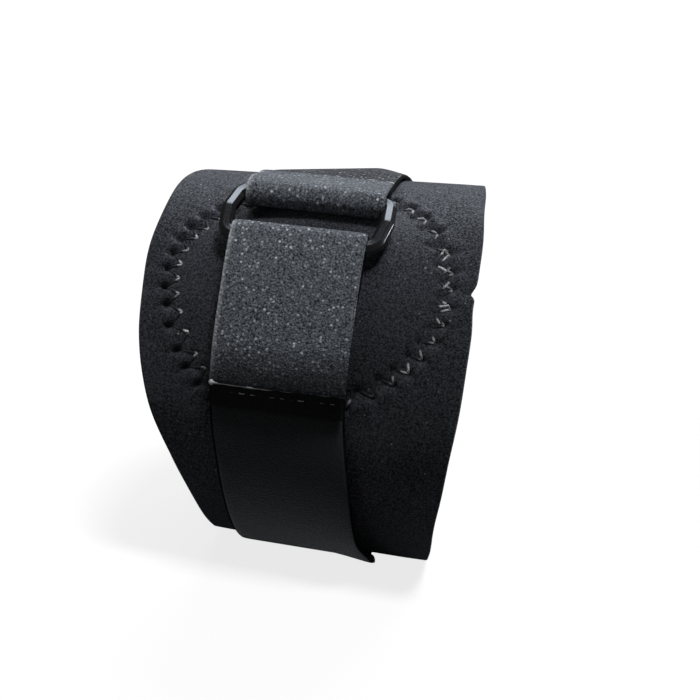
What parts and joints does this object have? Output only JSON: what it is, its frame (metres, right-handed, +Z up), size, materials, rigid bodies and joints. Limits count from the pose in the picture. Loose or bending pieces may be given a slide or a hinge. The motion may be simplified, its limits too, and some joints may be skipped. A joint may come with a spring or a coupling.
{
  "type": "neoprene elbow support",
  "caption": "Tubular neoprene elbow support with a zigzag-stitched oval pressure pad, cinched by a hook-and-loop webbing strap through a rectangular ring.",
  "frame": {"origin": "middle of the strap's flat underside, on the surface that the support rests on", "axes": "+X along the sleeve towards its elbow end, -Y towards the padded front, +Z up"},
  "size_m": [0.0898, 0.1032, 0.1088],
  "materials": {
    "neoprene": "black sponge neoprene faced with fine jersey knit, matt",
    "pad_cloth": "black knit cover over a foam pad, matt",
    "moulded_plastic": "black moulded plastic with chamfered satin bars",
    "webbing": "charcoal plush-faced nylon webbing with fine sparkling loops",
    "hook_tape": "black woven back of hook tape, fine ribs"
  },
  "bodies": {
    "root": {"sleeve": "neoprene", "pad": "pad_cloth", "ring": "moulded_plastic", "ring_tab": "webbing", "strap": "webbing", "hook_tab": "hook_tape"}
  },
  "joints": []
}
